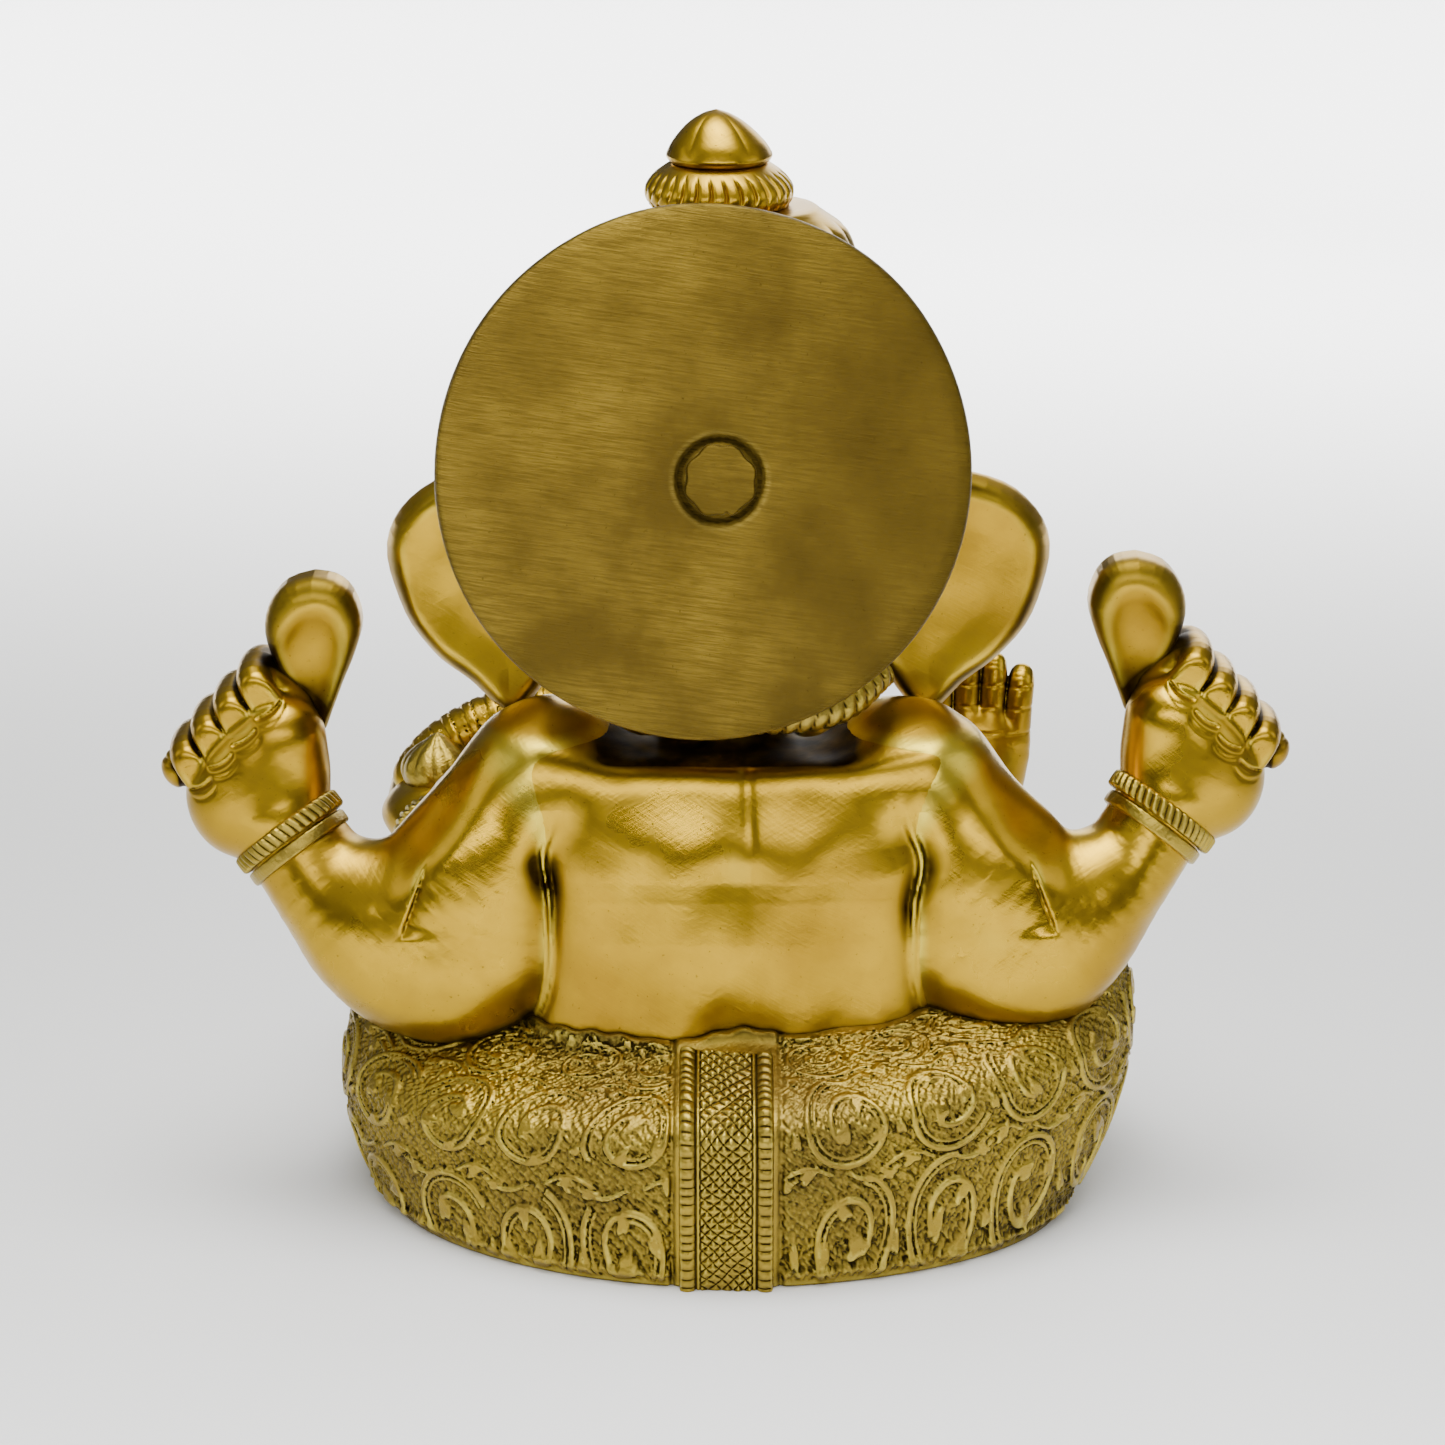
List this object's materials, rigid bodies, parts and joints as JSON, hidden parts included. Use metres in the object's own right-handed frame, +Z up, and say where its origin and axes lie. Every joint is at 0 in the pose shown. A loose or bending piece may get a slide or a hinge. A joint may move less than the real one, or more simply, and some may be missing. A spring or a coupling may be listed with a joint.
{
  "type": "seated elephant-headed deity figurine",
  "caption": "Seated four-armed elephant-headed brass idol with a round halo disc riveted behind its crowned head; stands on its own hollow lap.",
  "frame": {"origin": "on the resting face, under the middle of the figure's width and depth", "axes": "+Z up, the figure looks along -Y, its own left side is +X"},
  "size_m": [0.1804, 0.107, 0.178],
  "materials": {
    "worn_brass": "hand-filed and burnished, dark in the recesses",
    "engraved_brass": "chased and punched, dark in the recesses",
    "sanded_brass": "sanded with near-level scratches, olive tarnish"
  },
  "bodies": {
    "root": {"lap_casting": "engraved_brass", "back_sash": "engraved_brass", "left_foot": "worn_brass", "right_foot": "worn_brass", "left_anklet": "engraved_brass", "right_anklet": "engraved_brass", "torso": "worn_brass", "belly_belt": "engraved_brass", "sacred_thread": "engraved_brass", "necklace": "engraved_brass", "head": "worn_brass", "trunk": "worn_brass", "left_ear": "worn_brass", "right_ear": "worn_brass", "left_tusk": "worn_brass", "right_tusk": "worn_brass", "crown_roll": "engraved_brass", "crown": "worn_brass", "crown_jewel": "engraved_brass", "crown_collar": "engraved_brass", "crown_bud": "worn_brass", "halo_disc": "sanded_brass", "halo_rivet": "sanded_brass", "rear_left_arm": "worn_brass", "rear_right_arm": "worn_brass", "rear_left_hand": "worn_brass", "rear_right_hand": "worn_brass", "rear_left_bangles": "engraved_brass", "rear_right_bangles": "engraved_brass", "noose_grip": "worn_brass", "goad_grip": "worn_brass", "front_left_arm": "worn_brass", "front_right_arm": "worn_brass", "front_left_hand": "worn_brass", "front_right_hand": "worn_brass", "front_left_bangle": "engraved_brass", "front_right_bangle": "engraved_brass", "sweet": "engraved_brass", "nape_roll": "engraved_brass", "arm_pegs": "worn_brass", "neck_spigot": "worn_brass", "crown_tenon": "worn_brass"}
  },
  "joints": []
}
